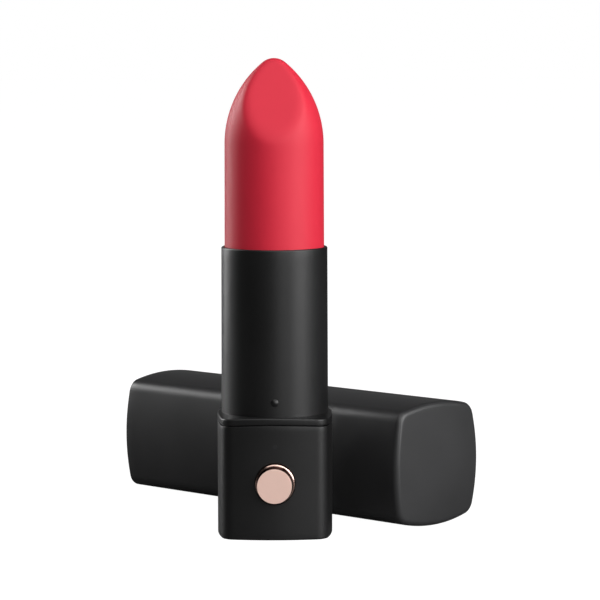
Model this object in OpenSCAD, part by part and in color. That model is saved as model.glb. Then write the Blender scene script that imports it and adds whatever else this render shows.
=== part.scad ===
// Lipstick-shaped rechargeable massager with a loose square cap.
// Millimetres, +Z up. The origin is the middle of the underside of the standing case, and the
// button faces -Y. The cap lies on its side on the same surface, behind the case.

/* [Base] */
// Width of the square base across its bulged sides
base_w = 23; // [22:0.5:24]
// Radius of the bulge of each side, seen from above
side_r = 40.5; // [36:0.5:60]
// Radius of the upright corners
corner_r = 3; // [2.5:0.1:3.4]
// Wall thickness of the base
base_wall = 1.5; // [1.3:0.1:1.6]
// Height of the seam between base and flange, at the middle of a side
seam_z = 22.8; // [22.6:0.1:23]
// Radius of the shallow dome of the seam and of the ledge
dome_r = 100; // [80:5:140]

/* [Collar] */
// Height of the ledge that the cap sits on, at the middle of a side
ledge_z = 24.3; // [24.1:0.1:24.5]
// Gap that shows as the seam line
seam_gap = 0.25; // [0.2:0.05:0.3]
// Diameter of the collar at the ledge
collar_d_low = 21.4; // [21.2:0.1:21.6]
// Diameter of the collar at its top rim
collar_d_top = 21.2; // [21:0.1:21.4]
// Height of the collar's top rim
collar_top = 57.5; // [56:0.5:59]
// Height of the snap bumps at the foot of the collar
bump_z = 27.3; // [27:0.1:27.6]
// How far each snap bump stands out of the collar
bump_rise = 0.35; // [0.25:0.05:0.4]

/* [Bullet] */
// Height of the tip over the underside
tip_z = 95; // [94:0.5:96]
// Diameter of the silicone bullet
bullet_d = 19.9; // [19.6:0.1:20]
// Radius of the flank that runs in to the tip
flank_r = 21; // [20:0.5:22]
// Length of that flank, measured down from the tip
flank_len = 17; // [16.5:0.1:17.5]
// How far below the tip the slanted facet ends
facet_len = 16.1; // [15:0.1:17]
// How far in front of the axis the facet starts at the tip
facet_lead = 1; // [0.6:0.1:1.5]

/* [Button] */
// Diameter of the push button
button_d = 7.8; // [7.6:0.1:8]
// Height of the button's centre
button_z = 11.3; // [11:0.1:11.6]
// How far the button's face stands out of the base
button_proud = 0.95; // [0.8:0.05:1.1]
// Travel of the button
button_travel = 0.4; // [0.3:0.05:0.4]
// Height of the indicator spot
led_z = 18.7; // [18.4:0.1:19]

/* [Cap] */
// Width of the square cap
cap_w = 25.4; // [24.8:0.1:25.6]
// Length of the cap
cap_len = 79.5; // [76:0.5:80]
// Turn of the lying cap about the upright axis
cap_yaw = 44; // [43:0.5:45]
// Place of the cap's open end, to the right and to the back of the case
cap_open_x = -23.7; // [-24:0.1:-23.5]
// Place of the cap's open end, towards the back
cap_open_y = 60.8; // [60.7:0.1:64]

/* [Drive] */
// Diameter of the vibration motor
motor_d = 10; // [9.6:0.1:10]
// Height of the motor's lower end
motor_z = 61; // [61:0.5:62]
// Length of the motor's can
motor_len = 14; // [13:0.5:14]
// Diameter of the battery cell
cell_d = 12; // [11:0.1:12]
// Length of the battery cell
cell_len = 28; // [26:0.5:28]

/* [Hidden] */
$fn = 96;

eps = 0.01;
far = 60;

// A bulged square: its side arcs are centred side_off behind the middle, and each corner disc
// touches two of them from inside, at side_off + corner_at from the arc's centre.
side_off = side_r - base_w / 2;
function corner_at(off, reach) = (-2 * off + sqrt(4 * off * off - 8 * (off * off - reach * reach))) / 4;

// Heights
seam_apex = seam_z + dome_rise(base_w / 2);
ledge_apex = ledge_z + dome_rise(base_w / 2);
plate_top = 22.2;
plate_t = 1.5;
collar_bore_r = 9.3;
sleeve_seat_z = 50.5;
sleeve_clear = 0.03;
gasket_inset = 0.7;
gasket_depth = 0.8;

// Bullet
bullet_r = bullet_d / 2;
flank_x = bullet_r - 0.07 - flank_r;
flank_z = tip_z - flank_len;
tip_r = (flank_r * flank_r - flank_x * flank_x - flank_len * flank_len) / (2 * (flank_r - flank_len));
facet_angle = atan((bullet_r - 0.07 - facet_lead) / facet_len);
core_r = 7.9;
core_wall = 1;
core_dome_z = 79;

// Button and board, along Y
hole_clear = 0.15;
front_y = -base_w / 2;
wall_y = front_y + base_wall;
face_y = front_y - button_proud;
neck_y = wall_y - 0.45;
neck_r = 3.4;
neck_clear = 0.05;
seal_r = 4.9;
seal_back_y = wall_y + 0.9;
keeper_r = 4.4;
keeper_y = seal_back_y + 0.1;
keeper_t = 0.6;
stem_r = 1.5;
plunger_y = keeper_y + keeper_t + 0.4;
board_front_y = -4.6;
board_t = 1;
board_half_w = 7.8;
board_low_z = 2.2;
board_high_z = 20.2;
switch_w = 4.5;
switch_t = 1.6;
plunger_r = 1.1;
pipe_r = 0.45;
pipe_clear = 0.03;

// Chassis
rail_x = 7.4;
rail_t = 1.2;
rail_y = 6;
boss_xy = 7.35;
boss_r = 1.6;
screw_r = 0.6;
screw_head_r = 1.2;
screw_head_t = 0.9;
wire_hole_r = 2.2;
lead_y = 6.45;
lead_r = 0.35;
contact_x = 3.2;
contact_y = -0.6;
magnet_x = 4.4;
magnet_y = 5;

// Drive
cell_z = 28.5;
pad_t = 1.5;
web_low_z = 25.6;
web_high_z = 27;
can_r = motor_d / 2;
can_wall = 0.4;
shaft_r = 0.75;
bush_clear = 0.03;
end_cap_t = 1.4;
holder_low_z = motor_z - 1;
holder_high_z = motor_z + motor_len + 1;
weight_r = 5.2;
weight_low_z = holder_high_z + 1;
weight_high_z = weight_low_z + 5;

// Cap, drawn standing on its open end
cap_wall = 1.2;
cap_end_wall = 1.8;
liner_r = 10.95;
liner_depth = 73.5;
groove_r = 11.2;
groove_half = 0.8;
cap_dome_r = 160;

black = [0.09, 0.09, 0.09];
steel = [0.7, 0.7, 0.72];

function dome_rise(half) = dome_r - sqrt(dome_r * dome_r - half * half);

// Outline of the bulged square, w across; less is the inset from the outer one of that width
module bulged_square(w, less = 0) {
    off = side_r - w / 2;
    reach = side_r - corner_r;
    at = corner_at(off, reach);
    turn = atan2(at, at + off);
    arc = side_r - less;
    chord = arc * (cos(turn) + sin(turn)) - off;
    intersection() {
        intersection_for (a = [0, 90, 180, 270]) rotate(a) translate([-off, 0]) circle(arc, $fn = 240);
        rotate(45) square(chord * sqrt(2), center = true);
    }
    for (a = [0, 90, 180, 270]) rotate(a) translate([at, at]) circle(corner_r - less);
}

// A prism of that outline between two heights
module block(w, less, low, high) {
    translate([0, 0, low]) linear_extrude(high - low) bulged_square(w, less);
}

// The big ball whose top gives the seam and the ledge their shallow dome
module dome(apex) {
    translate([0, 0, apex - dome_r]) sphere(dome_r, $fn = 200);
}

// A cylinder along +Y from one depth to another, at a place across and a height
module along_y(r, from_y, to_y, x = 0, z = 0) {
    translate([x, to_y, z]) rotate([90, 0, 0]) cylinder(h = to_y - from_y, r = r);
}

// A round wire through points, with ball joints at its bends
module wire(points, r) {
    for (i = [0 : len(points) - 2]) {
        step = points[i + 1] - points[i];
        length = norm(step);
        translate(points[i])
            rotate([0, acos(step[2] / length), atan2(step[1], step[0])]) cylinder(h = length, r = r, $fn = 24);
    }
    for (i = [1 : len(points) - 2]) translate(points[i]) sphere(r, $fn = 24);
}

module at_corners() {
    for (sx = [-1, 1], sy = [-1, 1]) translate([sx * boss_xy, sy * boss_xy, 0]) children();
}

module at_sides(x, y) {
    for (sx = [-1, 1]) translate([sx * x, y, 0]) children();
}

module base_shell() {
    color(black) difference() {
        intersection() {
            block(base_w, 0, 0, seam_apex + 1);
            dome(seam_apex);
        }
        block(base_w, base_wall, base_wall, far);
        block(base_w, gasket_inset, seam_z - gasket_depth, far);
        along_y(button_d / 2 + hole_clear, -far, 0, 0, button_z);
        along_y(pipe_r + pipe_clear, -far, 0, 0, led_z);
        at_sides(contact_x, contact_y) translate([0, 0, -1]) cylinder(h = 4, r = 1.2);
    }
}

module collar_shell() {
    color(black) difference() {
        union() {
            difference() {
                intersection() {
                    block(base_w, 0, seam_z - 3, ledge_apex + 1);
                    dome(ledge_apex);
                }
                dome(seam_apex + seam_gap);
            }
            translate([0, 0, ledge_z]) cylinder(h = collar_top - ledge_z, r1 = collar_d_low / 2, r2 = collar_d_top / 2);
            at_corners() translate([0, 0, plate_top]) cylinder(h = ledge_z - plate_top, r = boss_r);
            for (s = [-1, 1]) intersection() {
                translate([0, s * (collar_d_low / 2 + bump_rise - 1), bump_z]) sphere(1);
                translate([-2, s * 12 - 2.2, bump_z - 2]) cube([4, 4.4, 4]);
            }
        }
        translate([0, 0, -1]) cylinder(h = far + 10, r = collar_bore_r);
        translate([0, 0, sleeve_seat_z]) cylinder(h = far, r = bullet_r + sleeve_clear);
        at_corners() translate([0, 0, plate_top - 1]) cylinder(h = 2.7, r = screw_r);
    }
}

module seam_gasket() {
    color([0.15, 0.15, 0.15]) difference() {
        intersection() {
            block(base_w, gasket_inset, seam_z - gasket_depth, seam_apex + 1);
            dome(seam_apex + seam_gap);
        }
        block(base_w, base_wall, 0, far);
    }
}

// Solid of the bullet: tip ball, flank arc and a shank that widens by a hair towards the collar
module bullet_body() {
    rotate_extrude() intersection() {
        translate([flank_x, flank_z]) circle(flank_r, $fn = 240);
        translate([0, flank_z]) square([bullet_r, flank_len - tip_r + tip_r * (flank_len - tip_r) / (flank_r - tip_r)]);
    }
    translate([0, 0, tip_z - tip_r]) sphere(tip_r);
    translate([0, 0, collar_top]) cylinder(h = flank_z - collar_top, r1 = bullet_r, r2 = bullet_r - 0.07);
    translate([0, 0, sleeve_seat_z]) cylinder(h = collar_top - sleeve_seat_z, r = bullet_r);
}

module core_body() {
    translate([0, 0, plate_top]) cylinder(h = core_dome_z - plate_top, r = core_r);
    translate([0, 0, core_dome_z]) sphere(core_r);
}

module silicone_sleeve() {
    color([0.84, 0.22, 0.27]) difference() {
        bullet_body();
        core_body();
        translate([0, -facet_lead, tip_z]) rotate([-facet_angle, 0, 0]) translate([-20, -20, -40]) cube([40, 20, 60]);
    }
}

module bullet_core() {
    color([0.8, 0.8, 0.78]) difference() {
        union() {
            core_body();
            translate([0, 0, plate_top]) cylinder(h = web_high_z - plate_top, r = collar_bore_r - 0.05);
        }
        translate([0, 0, plate_top - 1]) cylinder(h = web_low_z - plate_top + 1, r = core_r - core_wall);
        translate([0, 0, web_high_z]) cylinder(h = core_dome_z - web_high_z, r = core_r - core_wall);
        translate([0, 0, core_dome_z]) intersection() {
            sphere(core_r - core_wall);
            translate([-far / 2, -far / 2, -1]) cube(far);
        }
        cylinder(h = far, r = wire_hole_r);
        translate([0, lead_y, 0]) cylinder(h = web_high_z + 0.5, r = 1.2);
    }
}

module chassis() {
    color([0.35, 0.35, 0.36]) difference() {
        union() {
            block(base_w, base_wall + 0.1, plate_top - plate_t, plate_top);
            for (s = [-1, 1]) translate([s * (rail_x + rail_t / 2) - rail_t / 2, -rail_y, base_wall])
                cube([rail_t, 2 * rail_y, plate_top - plate_t - base_wall + eps]);
        }
        cylinder(h = far, r = wire_hole_r);
        translate([0, lead_y, 0]) cylinder(h = far, r = 1.2);
        at_corners() cylinder(h = far, r = screw_r + 0.1);
        translate([-board_half_w, board_front_y, board_low_z])
            cube([2 * board_half_w, board_t, board_high_z - board_low_z]);
    }
}

module chassis_screws() {
    color(steel) at_corners() {
        translate([0, 0, plate_top - plate_t - screw_head_t]) cylinder(h = screw_head_t, r = screw_head_r);
        translate([0, 0, plate_top - plate_t - eps]) cylinder(h = 3 + eps, r = screw_r);
    }
}

module circuit_board() {
    color([0.1, 0.35, 0.2]) translate([-board_half_w, board_front_y, board_low_z])
        cube([2 * board_half_w, board_t, board_high_z - board_low_z]);
}

module control_chip() {
    color(black) translate([-2.5, board_front_y + board_t, button_z - 2.5]) cube([5, 0.9, 5]);
}

module board_parts() {
    color([0.6, 0.5, 0.35]) for (row = [0 : 2], s = [-1, 1])
        translate([s * 5 - 0.5, board_front_y + board_t, 6 + 4 * row]) cube([1, 0.5, 1.6]);
}

module indicator_led() {
    color([0.95, 0.95, 0.9]) translate([-0.8, board_front_y - 0.6, led_z - 0.4]) cube([1.6, 0.6, 0.8]);
}

module light_pipe() {
    color([0.3, 0.3, 0.3]) {
        along_y(pipe_r, front_y, board_front_y - 0.6, 0, led_z);
        along_y(1, wall_y + pipe_clear, wall_y + 0.6, 0, led_z);
    }
}

module tact_switch() {
    color([0.2, 0.2, 0.2]) difference() {
        translate([-switch_w / 2, board_front_y - switch_t, button_z - switch_w / 2]) cube([switch_w, switch_t, switch_w]);
        along_y(plunger_r + 0.05, -far, board_front_y - 0.5, 0, button_z);
    }
}

module button_seal() {
    color([0.25, 0.25, 0.25]) difference() {
        intersection() {
            along_y(seal_r, wall_y - 1, seal_back_y, 0, button_z);
            block(base_w, base_wall, base_wall, plate_top);
        }
        along_y(neck_r + neck_clear, -far, 0, 0, button_z);
    }
}

module button_cap() {
    color([0.85, 0.68, 0.6]) {
        along_y(button_d / 2, face_y, neck_y, 0, button_z);
        along_y(neck_r, neck_y, keeper_y, 0, button_z);
        along_y(keeper_r, keeper_y, keeper_y + keeper_t, 0, button_z);
        along_y(stem_r, keeper_y + keeper_t, plunger_y, 0, button_z);
    }
}

module switch_plunger() {
    color([0.8, 0.75, 0.6]) along_y(plunger_r, plunger_y, board_front_y - 0.5 - button_travel - 0.05, 0, button_z);
}

module charging_contacts() {
    color([0.9, 0.75, 0.4]) at_sides(contact_x, contact_y) {
        translate([0, 0, 0.15]) cylinder(h = base_wall - 0.15, r = 1.2);
        translate([0, 0, base_wall]) cylinder(h = 1.6, r = 0.6);
        translate([-0.4, board_front_y + board_t - contact_y, 2.4]) cube([0.8, contact_y - board_front_y - board_t, 0.7]);
    }
}

module charging_magnets() {
    color(steel) at_sides(magnet_x, magnet_y) translate([0, 0, base_wall]) cylinder(h = 1.8, r = 2);
}

module battery_cell() {
    color([0.55, 0.6, 0.65]) {
        translate([0, 0, cell_z]) cylinder(h = cell_len, r = cell_d / 2);
    }
}

// Foam discs over and under the cell, and a split foam wrap that leaves a channel for the leads
module battery_pads() {
    color([0.2, 0.2, 0.22]) {
        difference() {
            translate([0, 0, web_high_z]) cylinder(h = cell_z - web_high_z, r = cell_d / 2);
            cylinder(h = far, r = wire_hole_r);
        }
        translate([0, 0, cell_z + cell_len]) cylinder(h = pad_t, r = cell_d / 2);
        difference() {
            translate([0, 0, cell_z + 2]) cylinder(h = cell_len - 4, r = core_r - core_wall);
            cylinder(h = 2 * far, r = cell_d / 2);
            translate([-1.6, 0, 0]) cube([3.2, far, 2 * far]);
        }
    }
}

module battery_leads() {
    color([0.6, 0.1, 0.1]) for (s = [-1, 1]) wire([
        [s, board_front_y + board_t, 18.5], [s, -0.5, 18.5], [s, -0.5, cell_z]
    ], 0.4);
}

module motor_can() {
    color(steel) difference() {
        translate([0, 0, motor_z]) cylinder(h = motor_len, r = can_r);
        translate([0, 0, motor_z - 1]) cylinder(h = motor_len + 1 - can_wall * 2, r = can_r - can_wall);
        cylinder(h = 2 * far, r = 1.6);
    }
}

module motor_end_cap() {
    color([0.9, 0.9, 0.85]) difference() {
        translate([0, 0, motor_z - end_cap_t + 0.4]) cylinder(h = end_cap_t - 0.4, r = can_r);
        cylinder(h = 2 * far, r = 1.6);
    }
}

module motor_bushes() {
    color([0.8, 0.65, 0.35]) for (z = [motor_z - end_cap_t + 0.4, motor_z + motor_len - can_wall * 2]) difference() {
        translate([0, 0, z]) cylinder(h = end_cap_t - 0.4, r = 1.6);
        cylinder(h = 2 * far, r = shaft_r + bush_clear);
    }
}

module motor_magnet() {
    color([0.3, 0.3, 0.32]) difference() {
        translate([0, 0, motor_z + 1]) cylinder(h = motor_len - 3, r = can_r - can_wall);
        cylinder(h = 2 * far, r = 3.6);
    }
}

module motor_holder() {
    color([0.2, 0.2, 0.2]) difference() {
        translate([0, 0, holder_low_z]) cylinder(h = holder_high_z - holder_low_z, r = core_r - core_wall);
        cylinder(h = 2 * far, r = can_r);
    }
}

module motor_leads() {
    color([0.1, 0.2, 0.5]) for (s = [-1, 1]) wire([
        [s * 0.6, board_front_y + board_t, 16.5], [s * 0.6, lead_y, 16.5], [s * 0.6, lead_y, 58.9],
        [s * 0.6, 3.5, 58.9], [s * 0.6, 3.5, motor_z - end_cap_t + 0.4]
    ], lead_r);
}

module motor_shaft() {
    color(steel) translate([0, 0, motor_z - 0.9]) cylinder(h = weight_high_z - motor_z + 1.4, r = shaft_r);
}

module motor_winding() {
    color([0.7, 0.4, 0.2]) difference() {
        translate([0, 0, motor_z + 1.5]) cylinder(h = motor_len - 4, r = 3.3);
        cylinder(h = 2 * far, r = shaft_r);
    }
}

module eccentric_weight() {
    color([0.6, 0.6, 0.62]) difference() {
        union() {
            translate([0, 0, weight_low_z]) cylinder(h = weight_high_z - weight_low_z, r = 1.8);
            intersection() {
                translate([0, 0, weight_low_z]) cylinder(h = weight_high_z - weight_low_z, r = weight_r);
                translate([-weight_r, 0, weight_low_z - 1]) cube([2 * weight_r, weight_r, 10]);
            }
        }
        cylinder(h = 2 * far, r = shaft_r);
    }
}

// Lays the standing cap on its side, with its open end to the back left
module lay_cap() {
    translate([cap_open_x, cap_open_y, cap_w / 2]) rotate([0, 90, -cap_yaw]) children();
}

module cap_shell() {
    color(black) lay_cap() difference() {
        intersection() {
            block(cap_w, 0, 0, cap_len);
            translate([0, 0, cap_len - cap_dome_r]) sphere(cap_dome_r, $fn = 200);
        }
        block(cap_w, cap_wall, -1, cap_len - cap_end_wall);
    }
}

module cap_liner() {
    color([0.16, 0.16, 0.16]) lay_cap() difference() {
        block(cap_w, cap_wall, 0.6, cap_len - cap_end_wall);
        translate([0, 0, -1]) cylinder(h = liner_depth + 1, r = liner_r);
        translate([0, 0, bump_z - ledge_z - groove_half]) cylinder(h = 2 * groove_half, r = groove_r);
    }
}

base_shell();
collar_shell();
seam_gasket();
silicone_sleeve();
bullet_core();
chassis();
chassis_screws();
circuit_board();
control_chip();
board_parts();
indicator_led();
light_pipe();
tact_switch();
button_seal();
button_cap();
switch_plunger();
charging_contacts();
charging_magnets();
battery_cell();
battery_pads();
battery_leads();
motor_can();
motor_end_cap();
motor_magnet();
motor_bushes();
motor_holder();
motor_leads();
motor_shaft();
motor_winding();
eccentric_weight();
cap_shell();
cap_liner();
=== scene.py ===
from math import acos, atan2, cos, pi, radians, sin, sqrt

import bmesh
import bpy
from mathutils import Matrix, Vector


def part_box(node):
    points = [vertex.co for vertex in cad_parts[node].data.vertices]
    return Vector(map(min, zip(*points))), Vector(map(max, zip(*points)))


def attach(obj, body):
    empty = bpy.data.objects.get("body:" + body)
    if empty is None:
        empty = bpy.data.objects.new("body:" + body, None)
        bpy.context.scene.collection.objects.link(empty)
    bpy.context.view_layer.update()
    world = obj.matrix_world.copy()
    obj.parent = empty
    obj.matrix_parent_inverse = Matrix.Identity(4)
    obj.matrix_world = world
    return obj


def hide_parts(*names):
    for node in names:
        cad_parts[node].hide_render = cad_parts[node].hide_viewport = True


bl_info = {
    "name": "Lipstick case with push button",
    "version": (1, 0, 0),
    "blender": (4, 5, 0),
    "location": "3D View > Sidebar > Lipstick case",
    "description": "Builds the visible shells of a lipstick-shaped case around its packed frame",
    "category": "Add Mesh",
}

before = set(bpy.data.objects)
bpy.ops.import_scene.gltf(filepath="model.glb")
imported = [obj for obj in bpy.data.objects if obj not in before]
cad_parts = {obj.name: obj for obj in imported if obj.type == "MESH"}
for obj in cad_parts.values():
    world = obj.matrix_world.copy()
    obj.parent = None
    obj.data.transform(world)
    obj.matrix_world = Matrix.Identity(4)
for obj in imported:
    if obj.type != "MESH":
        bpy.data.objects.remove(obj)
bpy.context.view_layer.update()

MM = 0.001
RING_STEPS = 128
SIDE_STEPS = 16
CORNER_STEPS = 12
FILLET_STEPS = 8
SAG_ASIDE = 1 / 3

base_low, base_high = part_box("base_shell")
collar_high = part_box("collar_shell")[1]
sleeve_low, sleeve_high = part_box("silicone_sleeve")
core_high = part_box("bullet_core")[1]
button_low, button_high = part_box("button_cap")
pipe_low, pipe_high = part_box("light_pipe")
contacts_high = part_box("charging_contacts")[1]
cap_low, cap_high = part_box("cap_shell")


# ---------------------------------------------------------------- sizes and colours


class CaseSizes(bpy.types.PropertyGroup):
    """Sizes of the visible shells, in metres."""

    base_width: bpy.props.FloatProperty(
        name="Base width", description="Width of the square base across its bulged sides",
        default=base_high.x - base_low.x, unit="LENGTH", precision=5,
    )
    side_radius: bpy.props.FloatProperty(
        name="Side bulge radius", description="Radius of each bulged side, seen from above",
        default=40.5 * MM, unit="LENGTH", precision=5,
    )
    corner_radius: bpy.props.FloatProperty(
        name="Corner radius", description="Radius of the upright corners",
        default=3 * MM, unit="LENGTH", precision=5,
    )
    base_wall: bpy.props.FloatProperty(
        name="Base wall", description="Wall thickness of the base",
        default=1.5 * MM, unit="LENGTH", precision=5,
    )
    foot_fillet: bpy.props.FloatProperty(
        name="Foot fillet", description="Rounding of the base's bottom edge",
        default=0.32 * MM, unit="LENGTH", precision=5,
    )
    seam_fillet: bpy.props.FloatProperty(
        name="Seam fillet", description="Rounding of both edges beside the seam line",
        default=0.07 * MM, unit="LENGTH", precision=5,
    )
    seam_recess: bpy.props.FloatProperty(
        name="Seam recess", description="How far the gasket lies behind the outer skin",
        default=0.7 * MM, unit="LENGTH", precision=5,
    )
    seam_height: bpy.props.FloatProperty(
        name="Seam height", description="Height of the seam at the middle of a side",
        default=22.8 * MM, unit="LENGTH", precision=5,
    )
    seam_gap: bpy.props.FloatProperty(
        name="Seam gap", description="Width of the seam line",
        default=0.25 * MM, unit="LENGTH", precision=5,
    )
    ledge_height: bpy.props.FloatProperty(
        name="Ledge height", description="Height of the flange's top at the middle of a side",
        default=24.3 * MM, unit="LENGTH", precision=5,
    )
    ledge_fillet: bpy.props.FloatProperty(
        name="Ledge fillet", description="Soft rounding of the flange's top edge",
        default=0.26 * MM, unit="LENGTH", precision=5,
    )
    dome_radius: bpy.props.FloatProperty(
        name="Dome radius", description="Radius of the shallow dome of seam and ledge",
        default=100 * MM, unit="LENGTH", precision=4,
    )
    collar_low_diameter: bpy.props.FloatProperty(
        name="Collar diameter, low", description="Diameter of the collar at the ledge",
        default=21.4 * MM, unit="LENGTH", precision=5,
    )
    collar_top_diameter: bpy.props.FloatProperty(
        name="Collar diameter, top", description="Diameter of the collar at its rim",
        default=21.2 * MM, unit="LENGTH", precision=5,
    )
    collar_bore: bpy.props.FloatProperty(
        name="Collar bore", description="Diameter of the bore through collar and flange",
        default=18.6 * MM, unit="LENGTH", precision=5,
    )
    rim_fillet: bpy.props.FloatProperty(
        name="Rim fillet", description="Rounding of the collar's top rim",
        default=0.28 * MM, unit="LENGTH", precision=5,
    )
    bump_height: bpy.props.FloatProperty(
        name="Bump height", description="Height of the snap bumps over the underside",
        default=27.3 * MM, unit="LENGTH", precision=5,
    )
    bump_radius: bpy.props.FloatProperty(
        name="Bump radius", description="Radius of each snap bump's ball",
        default=1 * MM, unit="LENGTH", precision=5,
    )
    bump_rise: bpy.props.FloatProperty(
        name="Bump rise", description="How far a snap bump stands out of the collar",
        default=0.34 * MM, unit="LENGTH", precision=5,
    )
    bullet_diameter: bpy.props.FloatProperty(
        name="Bullet diameter", description="Diameter of the silicone bullet",
        default=sleeve_high.x - sleeve_low.x, unit="LENGTH", precision=5,
    )
    flank_radius: bpy.props.FloatProperty(
        name="Flank radius", description="Radius of the flank that runs in to the tip",
        default=21 * MM, unit="LENGTH", precision=5,
    )
    flank_length: bpy.props.FloatProperty(
        name="Flank length", description="Length of that flank below the tip",
        default=17 * MM, unit="LENGTH", precision=5,
    )
    facet_length: bpy.props.FloatProperty(
        name="Facet length", description="How far below the tip the slanted facet ends",
        default=15.5 * MM, unit="LENGTH", precision=5,
    )
    facet_lead: bpy.props.FloatProperty(
        name="Facet lead", description="How far in front of the axis the facet starts at the tip",
        default=1 * MM, unit="LENGTH", precision=5,
    )
    facet_softness: bpy.props.FloatProperty(
        name="Facet softness", description="Width over which the facet's edge is rounded",
        default=1 * MM, unit="LENGTH", precision=5,
    )
    button_diameter: bpy.props.FloatProperty(
        name="Button diameter", description="Diameter of the push button's head",
        default=7.8 * MM, unit="LENGTH", precision=5,
    )
    button_rim: bpy.props.FloatProperty(
        name="Button rim", description="Rounding of the button's bright outer edge",
        default=0.16 * MM, unit="LENGTH", precision=5,
    )
    face_diameter: bpy.props.FloatProperty(
        name="Satin face diameter", description="Diameter of the button's satin face",
        default=7 * MM, unit="LENGTH", precision=5,
    )
    face_drop: bpy.props.FloatProperty(
        name="Satin face drop", description="How far the satin face lies below the button's middle",
        default=0.36 * MM, unit="LENGTH", precision=5,
    )
    button_clearance: bpy.props.FloatProperty(
        name="Button clearance", description="Gap between the button and its hole",
        default=0.15 * MM, unit="LENGTH", precision=5,
    )
    cap_width: bpy.props.FloatProperty(
        name="Cap width", description="Width of the square cap across its bulged sides",
        default=cap_high.z - cap_low.z, unit="LENGTH", precision=5,
    )
    cap_length: bpy.props.FloatProperty(
        name="Cap length", description="Length of the cap",
        default=79.5 * MM, unit="LENGTH", precision=5,
    )
    cap_yaw: bpy.props.FloatProperty(
        name="Cap turn", description="Turn of the lying cap about the upright axis",
        default=radians(44), subtype="ANGLE",
    )
    cap_open_x: bpy.props.FloatProperty(
        name="Cap place across", description="Middle of the cap's open end, across",
        default=-23.7 * MM, unit="LENGTH", precision=5,
    )
    cap_open_y: bpy.props.FloatProperty(
        name="Cap place behind", description="Middle of the cap's open end, behind the case",
        default=60.8 * MM, unit="LENGTH", precision=5,
    )
    cap_wall: bpy.props.FloatProperty(
        name="Cap wall", description="Wall thickness of the cap's outer shell",
        default=1.2 * MM, unit="LENGTH", precision=5,
    )
    cap_end_wall: bpy.props.FloatProperty(
        name="Cap end wall", description="Thickness of the cap's closed end",
        default=1.8 * MM, unit="LENGTH", precision=5,
    )
    cap_fillet: bpy.props.FloatProperty(
        name="Cap fillet", description="Rounding of the closed end's edge",
        default=1.1 * MM, unit="LENGTH", precision=5,
    )
    cap_dome_radius: bpy.props.FloatProperty(
        name="Cap dome radius", description="Radius of the slightly domed closed end",
        default=160 * MM, unit="LENGTH", precision=4,
    )
    liner_bore: bpy.props.FloatProperty(
        name="Liner bore", description="Diameter of the round bore inside the cap",
        default=21.9 * MM, unit="LENGTH", precision=5,
    )
    liner_groove: bpy.props.FloatProperty(
        name="Liner groove", description="Diameter of the groove that the snap bumps click into",
        default=22.4 * MM, unit="LENGTH", precision=5,
    )
    liner_depth: bpy.props.FloatProperty(
        name="Liner depth", description="Depth of the bore inside the cap",
        default=73.5 * MM, unit="LENGTH", precision=5,
    )
    camera_distance: bpy.props.FloatProperty(
        name="Camera distance", description="Level distance from the camera to the case",
        default=0.6, unit="LENGTH",
    )
    camera_height: bpy.props.FloatProperty(
        name="Camera height", description="Height of the camera over the floor",
        default=0.104, unit="LENGTH", precision=4,
    )
    camera_turn: bpy.props.FloatProperty(
        name="Camera turn", description="How far the camera is turned to the right of the case",
        default=0.0085, subtype="ANGLE",
    )
    camera_dip: bpy.props.FloatProperty(
        name="Camera dip", description="How far the camera looks down",
        default=0.0952, subtype="ANGLE",
    )
    camera_roll: bpy.props.FloatProperty(
        name="Camera roll", description="Slight roll of the camera",
        default=-0.002, subtype="ANGLE",
    )
    camera_lens: bpy.props.FloatProperty(
        name="Camera lens", description="Focal length in millimetres on a 36 mm wide sensor",
        default=180.7,
    )


class CaseColours(bpy.types.PropertyGroup):
    """Colours of the finishes, as linear values."""

    soft_black: bpy.props.FloatVectorProperty(
        name="Soft-touch black", description="Base, flange and collar",
        default=(0.005, 0.005, 0.0052), subtype="COLOR", min=0, max=1,
    )
    # Painted light: the cap's copy of the soft-touch black is lighter than soft_black, standing in for the
    # light that falls on the cap.
    cap_black_painted_lighter: bpy.props.FloatVectorProperty(
        name="Cap black, painted lighter", description="Outside of the cap",
        default=(0.024, 0.024, 0.025), subtype="COLOR", min=0, max=1,
    )
    silicone_red: bpy.props.FloatVectorProperty(
        name="Silicone red", description="The bullet",
        default=(0.72, 0.022, 0.05), subtype="COLOR", min=0, max=1,
    )
    rose_gold: bpy.props.FloatVectorProperty(
        name="Rose gold", description="The push button",
        default=(1, 0.69, 0.59), subtype="COLOR", min=0, max=1,
    )
    # Painted reflection: the dark colour of the button's polished slope stands in for the dark
    # surroundings it reflects.
    slope_painted_reflection: bpy.props.FloatVectorProperty(
        name="Slope painted reflection", description="Painted dark reflection on the button's polished slope",
        default=(0.07, 0.03, 0.024), subtype="COLOR", min=0, max=1,
    )
    liner_black: bpy.props.FloatVectorProperty(
        name="Liner black", description="Inside of the cap",
        default=(0.02, 0.02, 0.021), subtype="COLOR", min=0, max=1,
    )
    floor_white: bpy.props.FloatVectorProperty(
        name="Floor white", description="Plain pale floor",
        default=(0.12, 0.12, 0.12), subtype="COLOR", min=0, max=1,
    )


# ---------------------------------------------------------------- mesh helpers


def outline_angles():
    """Angles round a bulged square, closer together at its corners."""
    corner_half = radians(8)
    angles = []
    for quarter in range(4):
        middle = quarter * pi / 2
        side_half = pi / 4 - corner_half
        for step in range(SIDE_STEPS):
            angles.append(middle - side_half + 2 * side_half * step / SIDE_STEPS)
        for step in range(CORNER_STEPS):
            angles.append(middle + side_half + 2 * corner_half * step / CORNER_STEPS)
    return angles


def circle_angles():
    return [2 * pi * step / RING_STEPS for step in range(RING_STEPS)]


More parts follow.
